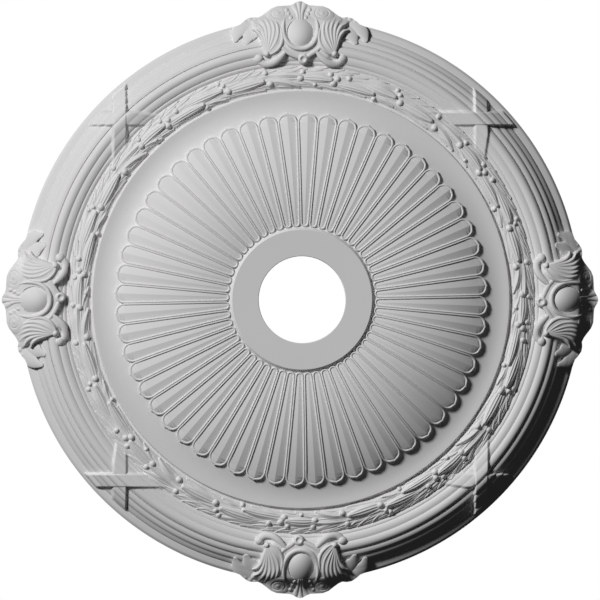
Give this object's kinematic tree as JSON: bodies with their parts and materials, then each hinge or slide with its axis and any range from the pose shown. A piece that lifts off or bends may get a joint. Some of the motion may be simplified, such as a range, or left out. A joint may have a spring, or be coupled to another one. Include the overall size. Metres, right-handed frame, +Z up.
{
  "type": "ceiling rose",
  "caption": "Round moulded ceiling rose with a central cable and fixing hole, a fan of petals, a leaf wreath, a reeded border and scrolled cartouches.",
  "frame": {"origin": "centre of the flat back, on the ceiling plane", "axes": "+Z up into the ceiling, so the carved face looks down along -Z; -Y towards the top cartouche and +X towards the right one, as the picture shows them from below"},
  "size_m": [0.6984, 0.6984, 0.0762],
  "materials": {
    "primed_white": "matt white primer on moulded rigid foam"
  },
  "bodies": {
    "root": {"ceiling_rose": "primed_white"}
  },
  "joints": []
}
